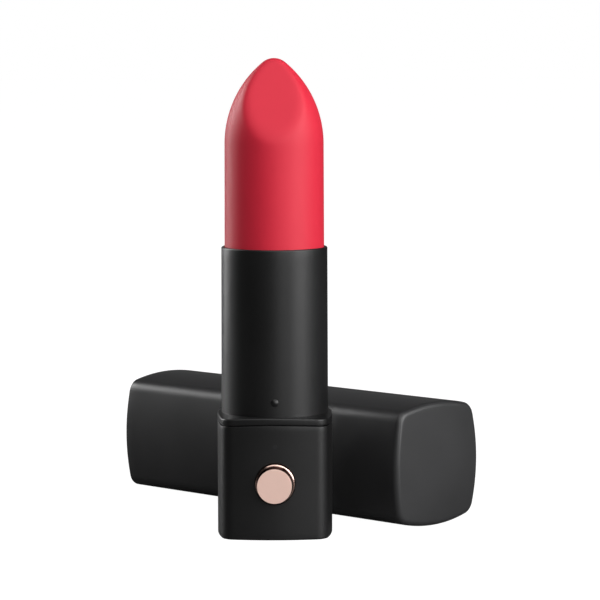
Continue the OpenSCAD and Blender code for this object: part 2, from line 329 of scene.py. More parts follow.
def bulged_reach(angle, width, inset, sizes):
    """Distance from the axis to the outline of a bulged square in one direction."""
    folded = angle % (pi / 2)
    if folded > pi / 4:
        folded = pi / 2 - folded
    across = cos(folded)
    along = sin(folded)
    offset = sizes.side_radius - width / 2
    reach = sizes.side_radius - sizes.corner_radius
    corner = (-2 * offset + sqrt(4 * offset**2 - 8 * (offset**2 - reach**2))) / 4
    turn = atan2(corner, corner + offset)
    arc = sizes.side_radius - inset
    distance = -offset * across + sqrt((offset * across) ** 2 - offset**2 + arc**2)
    if distance * along <= arc * sin(turn):
        return distance
    toward = corner * (across + along)
    return toward + sqrt(toward**2 - 2 * corner**2 + (sizes.corner_radius - inset) ** 2)


def bulged_ring(angles, width, inset, height, sizes, shrink=1):
    """A ring of points on a bulged square; height is a number, or a function of the distance."""
    points = []
    for angle in angles:
        distance = bulged_reach(angle, width, inset, sizes) * shrink
        level = height(distance) if callable(height) else height
        points.append((distance * cos(angle), distance * sin(angle), level))
    return points


def round_ring(angles, distance, height):
    level = height(distance) if callable(height) else height
    return [(distance * cos(angle), distance * sin(angle), level) for angle in angles]


def quarter_turns(steps=FILLET_STEPS):
    return [pi / 2 * step / steps for step in range(steps + 1)]


def skin(name, rings, closed=False):
    """A solid whose skin runs through rings of points; closed joins the last ring to the first."""
    mesh_builder = bmesh.new()
    count = len(rings[0])
    rows = [[mesh_builder.verts.new(point) for point in ring] for ring in rings]
    pairs = list(zip(rows, rows[1:]))
    if closed:
        pairs.append((rows[-1], rows[0]))
    for row, following in pairs:
        for index in range(count):
            after = (index + 1) % count
            mesh_builder.faces.new((row[index], row[after], following[after], following[index]))
    bmesh.ops.remove_doubles(mesh_builder, verts=mesh_builder.verts, dist=1e-7)
    bmesh.ops.recalc_face_normals(mesh_builder, faces=mesh_builder.faces)
    return finished_object(name, mesh_builder)


def finished_object(name, mesh_builder, sharp_angle=radians(50)):
    mesh = bpy.data.meshes.new(name)
    mesh_builder.to_mesh(mesh)
    mesh_builder.free()
    for face in mesh.polygons:
        face.use_smooth = True
    mesh.set_sharp_from_angle(angle=sharp_angle)
    made = bpy.data.objects.new(name, mesh)
    bpy.context.scene.collection.objects.link(made)
    return made


def lathe_rings(profile, angles):
    """Rings round the upright axis from pairs of distance and height."""
    return [round_ring(angles, distance, height) for distance, height in profile]


def fillet_profile(centre_distance, centre_height, radius, start, end, steps=FILLET_STEPS):
    """Points of an arc in the plane of distance and height, between two angles."""
    points = []
    for step in range(steps + 1):
        turn = start + (end - start) * step / steps
        points.append((centre_distance + radius * cos(turn), centre_height + radius * sin(turn)))
    return points


def cut(target, cutters):
    """Cuts each cutter out of the target, and removes the cutters."""
    for cutter in cutters:
        modifier = target.modifiers.new("cut", "BOOLEAN")
        modifier.operation = "DIFFERENCE"
        modifier.solver = "EXACT"
        modifier.object = cutter
    bpy.context.view_layer.update()
    graph = bpy.context.evaluated_depsgraph_get()
    cut_mesh = bpy.data.meshes.new_from_object(target.evaluated_get(graph))
    target.modifiers.clear()
    old_mesh = target.data
    target.data = cut_mesh
    cut_mesh.name = old_mesh.name
    bpy.data.meshes.remove(old_mesh)
    for cutter in cutters:
        bpy.data.objects.remove(cutter)
    for face in cut_mesh.polygons:
        face.use_smooth = True
    cut_mesh.set_sharp_from_angle(angle=radians(40))


def dress(piece, material, slot, body, *nodes):
    """Gives a piece its material, its body and the CAD nodes it stands for; the slot argument is not used.
    """
    piece.data.materials.clear()
    piece.data.materials.append(material)
    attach(piece, body)
    if nodes:
        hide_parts(*nodes)


# ---------------------------------------------------------------- shared node groups


def new_group(name, inputs, outputs):
    """An empty shader group with named sockets; inputs are (name, kind, default)."""
    group = bpy.data.node_groups.new(name, "ShaderNodeTree")
    for label, kind, default in inputs:
        socket = group.interface.new_socket(label, in_out="INPUT", socket_type=kind)
        socket.default_value = default
    for label, kind in outputs:
        group.interface.new_socket(label, in_out="OUTPUT", socket_type=kind)
    entry = group.nodes.new("NodeGroupInput")
    leave = group.nodes.new("NodeGroupOutput")
    return group, entry, leave


def noise(tree, scale, detail, roughness=0.5):
    node = tree.nodes.new("ShaderNodeTexNoise")
    node.inputs["Scale"].default_value = scale
    node.inputs["Detail"].default_value = detail
    node.inputs["Roughness"].default_value = roughness
    return node


def maths(tree, operation, first=None, second=None):
    node = tree.nodes.new("ShaderNodeMath")
    node.operation = operation
    for socket, value in zip(node.inputs, (first, second)):
        if value is None:
            continue
        if isinstance(value, (int, float)):
            socket.default_value = value
        else:
            tree.links.new(value, socket)
    return node.outputs[0]


def spread(tree, value, low, high, to_low, to_high):
    node = tree.nodes.new("ShaderNodeMapRange")
    tree.links.new(value, node.inputs["Value"])
    for label, number in (("From Min", low), ("From Max", high), ("To Min", to_low), ("To Max", to_high)):
        if isinstance(number, (int, float)):
            node.inputs[label].default_value = number
        else:
            tree.links.new(number, node.inputs[label])
    return node.outputs["Result"]


def mixed(tree, factor, first, second):
    node = tree.nodes.new("ShaderNodeMix")
    node.data_type = "RGBA"
    tree.links.new(factor, node.inputs["Factor"])
    tree.links.new(first, node.inputs["A"])
    tree.links.new(second, node.inputs["B"])
    return node.outputs["Result"]


def moulded_grain_group():
    """Fine even texture of moulded plastic or rubber, with soft patches of handling."""
    group, entry, leave = new_group(
        "Moulded grain",
        (
            ("Colour", "NodeSocketColor", (0.5, 0.5, 0.5, 1)),
            ("Patch Colour", "NodeSocketColor", (0.5, 0.5, 0.5, 1)),
            ("Roughness", "NodeSocketFloat", 0.5),
            ("Roughness Spread", "NodeSocketFloat", 0.05),
            ("Grain Scale", "NodeSocketFloat", 6000),
            ("Grain Depth", "NodeSocketFloat", 0.1),
            ("Patch Scale", "NodeSocketFloat", 60),
        ),
        (("Colour", "NodeSocketColor"), ("Roughness", "NodeSocketFloat"), ("Normal", "NodeSocketVector")),
    )
    where = group.nodes.new("ShaderNodeTexCoord")
    fine = noise(group, 6000, 3, 0.6)
    group.links.new(where.outputs["Object"], fine.inputs["Vector"])
    group.links.new(entry.outputs["Grain Scale"], fine.inputs["Scale"])
    patches = noise(group, 60, 4, 0.55)
    group.links.new(where.outputs["Object"], patches.inputs["Vector"])
    group.links.new(entry.outputs["Patch Scale"], patches.inputs["Scale"])
    patch_mask = spread(group, patches.outputs["Fac"], 0.35, 0.7, 0, 1)
    colour = mixed(group, patch_mask, entry.outputs["Colour"], entry.outputs["Patch Colour"])
    group.links.new(colour, leave.inputs["Colour"])
    wander = maths(group, "SUBTRACT", patch_mask, 0.5)
    wander = maths(group, "MULTIPLY", wander, entry.outputs["Roughness Spread"])
    speckle = maths(group, "SUBTRACT", fine.outputs["Fac"], 0.5)
    speckle = maths(group, "MULTIPLY", speckle, entry.outputs["Roughness Spread"])
    rough = maths(group, "ADD", entry.outputs["Roughness"], wander)
    rough = maths(group, "ADD", rough, speckle)
    group.links.new(rough, leave.inputs["Roughness"])
    bump = group.nodes.new("ShaderNodeBump")
    bump.inputs["Distance"].default_value = 0.02 * MM
    group.links.new(entry.outputs["Grain Depth"], bump.inputs["Strength"])
    group.links.new(fine.outputs["Fac"], bump.inputs["Height"])
    group.links.new(bump.outputs["Normal"], leave.inputs["Normal"])
    return group


def drawn_metal_group():
    """Fine lines of drawn or turned metal along one direction, with slightly duller patches."""
    group, entry, leave = new_group(
        "Drawn metal",
        (
            ("Colour", "NodeSocketColor", (0.6, 0.6, 0.6, 1)),
            ("Dull Colour", "NodeSocketColor", (0.5, 0.5, 0.5, 1)),
            ("Roughness", "NodeSocketFloat", 0.3),
            ("Roughness Spread", "NodeSocketFloat", 0.1),
            ("Stretch", "NodeSocketVector", (1, 1, 0.05)),
            ("Line Scale", "NodeSocketFloat", 4000),
            ("Line Depth", "NodeSocketFloat", 0.1),
        ),
        (("Colour", "NodeSocketColor"), ("Roughness", "NodeSocketFloat"), ("Normal", "NodeSocketVector")),
    )
    where = group.nodes.new("ShaderNodeTexCoord")
    stretch = group.nodes.new("ShaderNodeVectorMath")
    stretch.operation = "MULTIPLY"
    group.links.new(where.outputs["Object"], stretch.inputs[0])
    group.links.new(entry.outputs["Stretch"], stretch.inputs[1])
    lines = noise(group, 4000, 2)
    group.links.new(stretch.outputs[0], lines.inputs["Vector"])
    group.links.new(entry.outputs["Line Scale"], lines.inputs["Scale"])
    dull = noise(group, 250, 3)
    group.links.new(where.outputs["Object"], dull.inputs["Vector"])
    dull_mask = spread(group, dull.outputs["Fac"], 0.4, 0.7, 0, 1)
    colour = mixed(group, dull_mask, entry.outputs["Colour"], entry.outputs["Dull Colour"])
    group.links.new(colour, leave.inputs["Colour"])
    line_part = maths(group, "SUBTRACT", lines.outputs["Fac"], 0.5)
    line_part = maths(group, "ADD", line_part, dull_mask)
    line_part = maths(group, "MULTIPLY", line_part, entry.outputs["Roughness Spread"])
    rough = maths(group, "ADD", entry.outputs["Roughness"], line_part)
    group.links.new(rough, leave.inputs["Roughness"])
    bump = group.nodes.new("ShaderNodeBump")
    bump.inputs["Distance"].default_value = 0.01 * MM
    group.links.new(entry.outputs["Line Depth"], bump.inputs["Strength"])
    group.links.new(lines.outputs["Fac"], bump.inputs["Height"])
    group.links.new(bump.outputs["Normal"], leave.inputs["Normal"])
    return group


GROUP_BUILDERS = {"Moulded grain": moulded_grain_group, "Drawn metal": drawn_metal_group}


# ---------------------------------------------------------------- materials


def rgba(colour):
    return (colour[0], colour[1], colour[2], 1)


def shade(colour, factor):
    return (colour[0] * factor, colour[1] * factor, colour[2] * factor, 1)


def new_material(name):
    material = bpy.data.materials.new(name)
    material.use_nodes = True
    return material, material.node_tree, material.node_tree.nodes["Principled BSDF"]


def finish(name, group_name, values, fixed):
    """A material whose colour, roughness and normal come from a shared group.

    values are set on the group's inputs and fixed on the Principled shader's own sockets."""
    material, tree, shader = new_material(name)
    effect = tree.nodes.new("ShaderNodeGroup")
    effect.node_tree = bpy.data.node_groups.get(group_name) or GROUP_BUILDERS[group_name]()
    for label, value in values.items():
        effect.inputs[label].default_value = value
    tree.links.new(effect.outputs["Colour"], shader.inputs["Base Color"])
    tree.links.new(effect.outputs["Roughness"], shader.inputs["Roughness"])
    tree.links.new(effect.outputs["Normal"], shader.inputs["Normal"])
    for label, value in fixed.items():
        shader.inputs[label].default_value = value
    return material


def moulded(name, colour, patch=0.85, roughness=0.5, spread_of=0.06, scale=6000, depth=0.12, **fixed):
    values = {
        "Colour": rgba(colour),
        "Patch Colour": shade(colour, patch),
        "Roughness": roughness,
        "Roughness Spread": spread_of,
        "Grain Scale": scale,
        "Grain Depth": depth,
    }
    settings = {}
    for label, value in fixed.items():
        settings[label.replace("_", " ").title().replace("Ior", "IOR")] = value
    return finish(name, "Moulded grain", values, settings)


def drawn(name, colour, dull=0.8, roughness=0.3, spread_of=0.1, stretch=(1, 1, 0.05), **fixed):
    values = {
        "Colour": rgba(colour),
        "Dull Colour": shade(colour, dull),
        "Roughness": roughness,
        "Roughness Spread": spread_of,
        "Stretch": stretch,
    }
    settings = {"Metallic": 1.0}
    settings.update({label.replace("_", " ").title(): value for label, value in fixed.items()})
    return finish(name, "Drawn metal", values, settings)


def soft_touch(name, colour):
    return moulded(
        name, colour, patch=1.25, roughness=0.42, spread_of=0.05,
        scale=9000, depth=0.16, specular_ior_level=0.55,
    )


def velvet_silicone(colours):
    return moulded(
        "velvet silicone", colours.silicone_red, patch=0.97, roughness=0.52, spread_of=0.05,
        scale=7000, depth=0.14, specular_ior_level=0.36, sheen_weight=0.02, sheen_roughness=0.4,
    )


def rose_gold_button(colours, sizes):
    """Satin face, a polished slope round it coloured with a painted dark reflection, and a bright outer
    edge, told apart by distance.
    """
    material = drawn(
        "rose gold", colours.rose_gold, dull=0.97, roughness=0.42, spread_of=0.06, stretch=(1, 0.05, 1),
    )
    tree = material.node_tree
    shader = tree.nodes["Principled BSDF"]
    effect = shader.inputs["Roughness"].links[0].from_node
    where = tree.nodes.new("ShaderNodeTexCoord")
    split = tree.nodes.new("ShaderNodeSeparateXYZ")
    tree.links.new(where.outputs["Object"], split.inputs[0])
    middle = (button_low.z + button_high.z) / 2

    def distance_from(across, height):
        """Distance in the button's plane from a point at this place across and this height."""
        aside = maths(tree, "SUBTRACT", split.outputs["X"], across)
        upward = maths(tree, "SUBTRACT", split.outputs["Z"], height)
        square_aside = maths(tree, "MULTIPLY", aside, aside)
        square_up = maths(tree, "MULTIPLY", upward, upward)
        return maths(tree, "SQRT", maths(tree, "ADD", square_aside, square_up))

    from_face = distance_from(-sizes.face_drop * SAG_ASIDE, middle - sizes.face_drop)
    face_edge = sizes.face_diameter / 2
    rim_mask = spread(tree, from_face, face_edge - 0.1 * MM, face_edge - 0.03 * MM, 0, 1)
    outer_edge = sizes.button_diameter / 2 - sizes.button_rim
    edge_mask = spread(tree, distance_from(0, middle), outer_edge - 0.22 * MM, outer_edge - 0.1 * MM, 0, 1)
    smoother = -0.26
    polish = maths(tree, "MULTIPLY", rim_mask, smoother)
    rough = maths(tree, "ADD", effect.outputs["Roughness"], polish)
    tree.links.new(rough, shader.inputs["Roughness"])
    face_metal = 0.2
    metal = spread(tree, rim_mask, 0, 1, face_metal, 1)
    tree.links.new(metal, shader.inputs["Metallic"])
    # The slope's dark copper colour is a painted dark reflection of the dark surroundings above the
    # button, not the metal's own tone.
    copper = tree.nodes.new("ShaderNodeRGB")
    copper.outputs["Color"].default_value = rgba(colours.slope_painted_reflection)
    painted_reflection_mask = maths(tree, "MAXIMUM", maths(tree, "SUBTRACT", rim_mask, edge_mask), 0)
    coloured = mixed(tree, painted_reflection_mask, effect.outputs["Colour"], copper.outputs["Color"])
    tree.links.new(coloured, shader.inputs["Base Color"])
    return material


def node_materials(colours):
    """Materials of the CAD nodes that stay in sight or inside, by node name."""
    black_rubber = moulded("seal rubber", (0.01, 0.01, 0.01), roughness=0.65, depth=0.2)
    steel = drawn("plain steel", (0.56, 0.56, 0.58))
    natural = moulded("natural plastic", (0.6, 0.58, 0.52), roughness=0.42, scale=3000)
    chip = moulded("chip plastic", (0.02, 0.02, 0.022), roughness=0.55, scale=12000)
    return {
        "seam_gasket": black_rubber,
        "button_seal": black_rubber,
        "motor_holder": black_rubber,
        "bullet_core": natural,
        "motor_end_cap": natural,
        "chassis": moulded("chassis plastic", (0.09, 0.09, 0.1), roughness=0.5, scale=4000),
        "chassis_screws": steel,
        "motor_shaft": steel,
        "circuit_board": moulded(
            "board laminate", (0.02, 0.16, 0.06), patch=0.7, roughness=0.3, scale=2500, coat_weight=0.4,
        ),
        "control_chip": chip,
        "tact_switch": chip,
        "board_parts": moulded("fired ceramic", (0.42, 0.3, 0.18), patch=0.6, roughness=0.6),
        "indicator_led": moulded("lamp lens", (0.85, 0.85, 0.78), roughness=0.2, depth=0.05),
        "light_pipe": moulded(
            "smoked lens", (0.016, 0.016, 0.017), roughness=0.36, depth=0.04, specular_ior_level=0.5,
        ),
        "switch_plunger": moulded("plunger plastic", (0.65, 0.58, 0.4), roughness=0.45),
        "charging_contacts": drawn("contact gold", (0.9, 0.66, 0.28), roughness=0.2),
        "charging_magnets": drawn("magnet nickel", (0.66, 0.65, 0.62), roughness=0.16, spread_of=0.05),
        "battery_cell": moulded("cell wrap", (0.1, 0.2, 0.34), roughness=0.3, scale=900, coat_weight=0.5),
        "battery_pads": moulded(
            "closed-cell foam", (0.05, 0.05, 0.055), roughness=0.85, scale=2200, depth=0.6,
        ),
        "battery_leads": moulded("red insulation", (0.45, 0.015, 0.015), roughness=0.45),
        "motor_leads": moulded("blue insulation", (0.015, 0.06, 0.36), roughness=0.45),
        "motor_can": drawn("motor steel", (0.6, 0.6, 0.62), roughness=0.22),
        "motor_magnet": moulded(
            "sintered magnet", (0.09, 0.09, 0.095), roughness=0.7, scale=3500, depth=0.4,
        ),
        "motor_bushes": drawn("bush brass", (0.75, 0.52, 0.22), roughness=0.4),
        "motor_winding": drawn(
            "enamelled copper", (0.72, 0.33, 0.14), roughness=0.25, stretch=(0.05, 0.05, 1),
        ),
        "eccentric_weight": drawn("sintered weight", (0.42, 0.42, 0.43), roughness=0.5, spread_of=0.2),
    }


# ---------------------------------------------------------------- pieces


def dome_height(edge_height, sizes):
    """Height of a shallow dome at a distance from the axis, from its height at a side's middle."""
    edge = sizes.base_width / 2
    centre = edge_height - sqrt(sizes.dome_radius**2 - edge**2)
    return lambda distance: centre + sqrt(sizes.dome_radius**2 - distance**2)


def lowered(height, drop):
    return lambda distance: height(distance) - drop


def turned_along_y(name, profile, across, height):
    """A closed round solid round an axis along Y, from radius, depth and an optional sag.

    A ring's sag moves it down, and by SAG_ASIDE of that to the left."""
    rings = []
    for radius, depth, *more in profile:
        sag = more[0] if more else 0
        middle = across - sag * SAG_ASIDE
        ring = []
        for angle in circle_angles():
            ring.append((middle + radius * cos(angle), depth, height - sag + radius * sin(angle)))
        rings.append(ring)
    return skin(name, rings)


class LIPCASE_OT_base_shell(bpy.types.Operator):
    """Build the square base with its holes for button, lamp and contacts"""

    bl_idname = "lipcase.base_shell"
    bl_label = "Base shell"

    def execute(self, context):
        sizes = context.scene.lipcase_sizes
        colours = context.scene.lipcase_colours
        angles = outline_angles()
        width = sizes.base_width
        seam = dome_height(sizes.seam_height, sizes)
        foot = sizes.foot_fillet
        edge = sizes.seam_fillet
        wall = sizes.base_wall
        gasket_step = 0.8 * MM
        rim_depth = 3 * MM
        rings = []
        for shrink in (0, 0.3, 0.6, 0.85):
            rings.append(bulged_ring(angles, width, foot, 0, sizes, shrink))
        for turn in quarter_turns():
            rings.append(bulged_ring(angles, width, foot * (1 - sin(turn)), foot * (1 - cos(turn)), sizes))
        side_rows = 24
        for row in range(1, side_rows):
            level = foot + (sizes.seam_height - 2 * foot) * row / side_rows
            rings.append(bulged_ring(angles, width, 0, level, sizes))
        for turn in quarter_turns(4):
            drop = edge * (1 - sin(turn))
            rings.append(bulged_ring(angles, width, edge * (1 - cos(turn)), lowered(seam, drop), sizes))
        rings.append(bulged_ring(angles, width, sizes.seam_recess, seam, sizes))
        rings.append(bulged_ring(angles, width, sizes.seam_recess, lowered(seam, gasket_step), sizes))
        rings.append(bulged_ring(angles, width, wall, lowered(seam, gasket_step), sizes))
        inner_top = sizes.seam_height - rim_depth
        inner_rows = 7
        for row in range(inner_rows + 1):
            level = inner_top - (inner_top - wall) * row / inner_rows
            rings.append(bulged_ring(angles, width, wall, level, sizes))
        for shrink in (0.7, 0.4, 0):
            rings.append(bulged_ring(angles, width, wall, wall, sizes, shrink))
        shell = skin("base_outer_shell", rings)
        front = base_low.y
        hole = sizes.button_diameter / 2 + sizes.button_clearance
        middle = (button_low.z + button_high.z) / 2
        lamp_height = (pipe_low.z + pipe_high.z) / 2
        beyond = front - 1 * MM
        inside = front + 3 * MM
        chamfer = 0.1 * MM
        button_hole = turned_along_y(
            "button_hole",
            (
                (0, beyond), (hole + 2.5 * chamfer, beyond), (hole + 2.5 * chamfer, front - 0.5 * chamfer),
                (hole, front + 2 * chamfer), (hole, inside), (0, inside),
            ),
            0, middle,
        )
        lamp_radius = 0.45 * MM
        lamp_hole = turned_along_y(
            "lamp_hole", ((0, beyond), (lamp_radius, beyond), (lamp_radius, inside), (0, inside)),
            0, lamp_height,
        )
        cutters = [button_hole, lamp_hole]
        contact_radius = 1.2 * MM
        contact_across = contacts_high.x - contact_radius
        contact_y = contacts_high.y - contact_radius
        for side in (-1, 1):
            profile = (
                (0, -1 * MM), (contact_radius + 2 * chamfer, -1 * MM),
                (contact_radius, chamfer), (contact_radius, 3 * MM), (0, 3 * MM),
            )
            cutter = skin("contact_hole", lathe_rings(profile, circle_angles()))
            cutter.data.transform(Matrix.Translation((side * contact_across, contact_y, 0)))
            cutters.append(cutter)
        cut(shell, cutters)
        black = soft_touch("soft touch black, base", colours.soft_black)
        dress(shell, black, "soft_touch_black", "case", "base_shell")
        return {"FINISHED"}


class LIPCASE_OT_collar(bpy.types.Operator):
    """Build the round collar, the domed flange under it and the two snap bumps"""

    bl_idname = "lipcase.collar"
    bl_label = "Collar and flange"

    def execute(self, context):
        sizes = context.scene.lipcase_sizes
        colours = context.scene.lipcase_colours
        black = soft_touch("soft touch black", colours.soft_black)
        self.build_tube(sizes, black)
        self.build_flange(sizes, black)
        self.build_bumps(sizes, black)
        return {"FINISHED"}

    def build_tube(self, sizes, black):
        top = collar_high.z
        low_radius = sizes.collar_low_diameter / 2
        top_radius = sizes.collar_top_diameter / 2
        sleeve_bore = sizes.bullet_diameter / 2 + 0.03 * MM
        bore = sizes.collar_bore / 2
        rim = sizes.rim_fillet
        lip = 0.12 * MM
        ledge = sizes.ledge_height
        root = ledge - 0.6 * MM
        profile = [(low_radius, root)]
        rows = 20
        for row in range(rows + 1):
            share = row / rows
            radius = low_radius + (top_radius - low_radius) * share
            profile.append((radius, ledge + (top - rim - ledge) * share))
        profile += fillet_profile(top_radius - rim, top - rim, rim, 0, pi / 2)
        profile += fillet_profile(sleeve_bore + lip, top - lip, lip, pi / 2, pi, 4)
        profile.append((sleeve_bore, sleeve_low.z))
        profile.append((bore, sleeve_low.z))
        profile.append((bore, root))
        tube = skin("collar_tube", lathe_rings(profile, circle_angles()), closed=True)
        dress(tube, black, "soft_touch_black", "case", "collar_shell")

    def build_flange(self, sizes, black):
        angles = outline_angles()
        width = sizes.base_width
        top = dome_height(sizes.ledge_height, sizes)
        under = dome_height(sizes.seam_height + sizes.seam_gap, sizes)
        soft = sizes.ledge_fillet
        edge = sizes.seam_fillet
        bore = sizes.collar_bore / 2
        under_inset = 1.6 * MM
        inner_margin = 0.8 * MM
        rings = [round_ring(angles, bore, under)]
        rings.append(bulged_ring(angles, width, under_inset, under, sizes))
        for turn in quarter_turns(4):
            lift = lowered(under, -edge * (1 - cos(turn)))
            rings.append(bulged_ring(angles, width, edge * (1 - sin(turn)), lift, sizes))
        for turn in quarter_turns(10):
            drop = lowered(top, soft * (1 - sin(turn)))
            rings.append(bulged_ring(angles, width, soft * (1 - cos(turn)), drop, sizes))
        for share in (0.25, 0.5, 0.75, 1):
            ring = []
            for angle in angles:
                outer = bulged_reach(angle, width, soft, sizes)
                distance = outer + (bore + inner_margin - outer) * share
                ring.append((distance * cos(angle), distance * sin(angle), top(distance)))
            rings.append(ring)
        rings.append(round_ring(angles, bore, top))
        flange = skin("collar_flange", rings, closed=True)
        dress(flange, black, "soft_touch_black", "case")

    def build_bumps(self, sizes, black):
        climb = (sizes.bump_height - sizes.ledge_height) / (collar_high.z - sizes.ledge_height)
        low_diameter = sizes.collar_low_diameter
        wall = (low_diameter + (sizes.collar_top_diameter - low_diameter) * climb) / 2
        ball = sizes.bump_radius
        centre = wall + sizes.bump_rise - ball
        buried = 0.35 * MM
        sink = wall - buried
        start = acos((sink - centre) / ball)
        for name, side in (("snap_bump_front", -1), ("snap_bump_back", 1)):
            profile = [(0, sink)]
            steps = 12
            for step in range(steps + 1):
                turn = start * (1 - step / steps)
                profile.append((ball * sin(turn), centre + ball * cos(turn)))
            facing = [(radius, side * depth) for radius, depth in profile]
            bump = turned_along_y(name, facing, 0, sizes.bump_height)
            dress(bump, black, "soft_touch_black", "case")


class LIPCASE_OT_silicone_sleeve(bpy.types.Operator):
    """Build the soft bullet with its slanted facet"""

    bl_idname = "lipcase.silicone_sleeve"
    bl_label = "Silicone sleeve"

    def execute(self, context):
        sizes = context.scene.lipcase_sizes
        colours = context.scene.lipcase_colours
        radius = sizes.bullet_diameter / 2
        widening = 0.07 * MM
        shoulder = radius - widening
        tip = sleeve_high.z
        flank_x = shoulder - sizes.flank_radius
        flank_z = tip - sizes.flank_length
        tip_radius = (sizes.flank_radius**2 - flank_x**2 - sizes.flank_length**2) / (
            2 * (sizes.flank_radius - sizes.flank_length)
        )
        tip_centre = tip - tip_radius
        touch = atan2(tip_centre - flank_z, -flank_x)
        angles = circle_angles()
        profile = []
        tip_rows = 14
        for row in range(tip_rows):
            turn = pi / 2 - (pi / 2 - touch) * row / tip_rows
            profile.append((tip_radius * cos(turn), tip_centre + tip_radius * sin(turn)))
        flank_rows = 40
        for row in range(flank_rows + 1):
            turn = touch * (1 - row / flank_rows)
            reach = flank_x + sizes.flank_radius * cos(turn)
            profile.append((reach, flank_z + sizes.flank_radius * sin(turn)))
        shank_rows = 16
        for row in range(1, shank_rows + 1):
            share = row / shank_rows
            profile.append((shoulder + widening * share, flank_z + (collar_high.z - flank_z) * share))
        profile.append((radius, sleeve_low.z))
        rings = []
        for distance, height in profile:
            ring = []
            for angle in angles:
                reach = self.with_facet(distance, angle, height, tip, shoulder, sizes)
                ring.append((reach * cos(angle), reach * sin(angle), height))
            rings.append(ring)
        rings += lathe_rings(self.core_profile(), angles)
        sleeve = skin("silicone_bullet", rings)
        dress(sleeve, velvet_silicone(colours), "red_silicone", "case", "silicone_sleeve")
        return {"FINISHED"}

    def with_facet(self, distance, angle, height, tip, shoulder, sizes):
        """The distance from the axis, held back softly by the plane of the facet."""
        forward = -sin(angle)
        if forward <= 0.02:
            return distance
        slope = (shoulder - sizes.facet_lead) / sizes.facet_length
        plane = (sizes.facet_lead + slope * (tip - height)) / forward
        soft = min(sizes.facet_softness, 0.8 * distance)
        if soft <= 0:
            return distance
        overlap = max(soft - abs(distance - plane), 0) / soft
        return min(distance, plane) - overlap * overlap * soft / 4

    def core_profile(self):
        """Inside of the sleeve, upwards from its lower end along the core."""
        core_radius = 7.9 * MM
        dome_z = core_high.z - core_radius
        points = [(core_radius, sleeve_low.z), (core_radius, dome_z)]
        steps = 12
        for step in range(1, steps + 1):
            turn = pi / 2 * step / steps
            points.append((core_radius * cos(turn), dome_z + core_radius * sin(turn)))
        return points


class LIPCASE_OT_button(bpy.types.Operator):
    """Build the round push button with its satin face and polished rim"""

    bl_idname = "lipcase.button"
    bl_label = "Push button"

    def execute(self, context):
        sizes = context.scene.lipcase_sizes
        colours = context.scene.lipcase_colours
        head = sizes.button_diameter / 2
        rim = sizes.button_rim
        disc = sizes.face_diameter / 2
        sag = sizes.face_drop
        face = button_low.y
        back = button_high.y
        step_y = base_low.y - 0.12 * MM
        neck_y = base_low.y + sizes.base_wall - 0.45 * MM
        keeper_y = base_low.y + sizes.base_wall + 1 * MM
        keeper_back = keeper_y + 0.6 * MM
        edge = 0.1 * MM
        neck = 3.4 * MM
        keeper = 4.4 * MM
        post = 1.5 * MM
        profile = []
        for share in (0, 0.25, 0.5, 0.75, 0.98):
            profile.append(((disc - edge) * share, face, sag))
        for turn in quarter_turns(5):
            profile.append((disc - edge + edge * sin(turn), face + edge * (1 - cos(turn)), sag))
        rows = 8
        for row in range(1, rows + 1):
            share = row / rows
            radius = disc + (head - rim - disc) * share
            profile.append((radius, face + edge + (step_y - face - edge) * share, sag * (1 - share)))
        for turn in quarter_turns(6):
            profile.append((head - rim + rim * sin(turn), step_y + rim * (1 - cos(turn))))
        profile += [
            (head, neck_y), (neck, neck_y), (neck, keeper_y), (keeper, keeper_y),
            (keeper, keeper_back), (post, keeper_back), (post, back), (0, back),
        ]
        middle = (button_low.z + button_high.z) / 2
        button = turned_along_y("push_button", profile, 0, middle)
        dress(button, rose_gold_button(colours, sizes), "rose_gold", "button", "button_cap")
        return {"FINISHED"}


def lay_down(piece, sizes):
    """Lays a standing cap piece on its side, open end to the back left."""
    place = Matrix.Translation((sizes.cap_open_x, sizes.cap_open_y, sizes.cap_width / 2))
    turn = Matrix.Rotation(-sizes.cap_yaw, 4, "Z")
    tip_over = Matrix.Rotation(pi / 2, 4, "Y")
    piece.data.transform(place @ turn @ tip_over)


class LIPCASE_OT_cap_shell(bpy.types.Operator):
    """Build the outer shell of the square cap"""

    bl_idname = "lipcase.cap_shell"
    bl_label = "Cap shell"

    def execute(self, context):
        sizes = context.scene.lipcase_sizes
        colours = context.scene.lipcase_colours
        angles = outline_angles()
        width = sizes.cap_width
        wall = sizes.cap_wall
        soft = sizes.cap_fillet
        rim = 0.3 * MM
        centre = sizes.cap_length - sizes.cap_dome_radius
        reach = sizes.cap_dome_radius

        def end(distance):
            return centre + sqrt(reach**2 - distance**2)

        rings = []
        for shrink in (0, 0.15, 0.3, 0.45, 0.6, 0.75, 0.88, 0.96):
            rings.append(bulged_ring(angles, width, soft, end, sizes, shrink))
        for turn in quarter_turns(12):
            drop = lowered(end, soft * (1 - cos(turn)))
            rings.append(bulged_ring(angles, width, soft * (1 - sin(turn)), drop, sizes))
        side_rows = 36
        for row in range(1, side_rows):
            level = (sizes.cap_length - 2 * soft) * (1 - row / side_rows) + rim
            rings.append(bulged_ring(angles, width, 0, level, sizes))
        for turn in quarter_turns(6):
            rings.append(bulged_ring(angles, width, rim * (1 - cos(turn)), rim * (1 - sin(turn)), sizes))
        for turn in quarter_turns(6):
            inset = wall - rim * (1 - sin(turn))
            rings.append(bulged_ring(angles, width, inset, rim * (1 - cos(turn)), sizes))
        inner_end = sizes.cap_length - sizes.cap_end_wall
        rings.append(bulged_ring(angles, width, wall, inner_end, sizes))
        rings.append(bulged_ring(angles, width, wall, inner_end, sizes, 0))
        shell = skin("cap_outer_shell", rings)
        lay_down(shell, sizes)
        # A lighter copy of the soft-touch black, as painted light on the cap.
        black = soft_touch("soft touch black, painted lighter for cap", colours.cap_black_painted_lighter)
        dress(shell, black, "soft_touch_black_cap", "cap", "cap_shell")
        return {"FINISHED"}


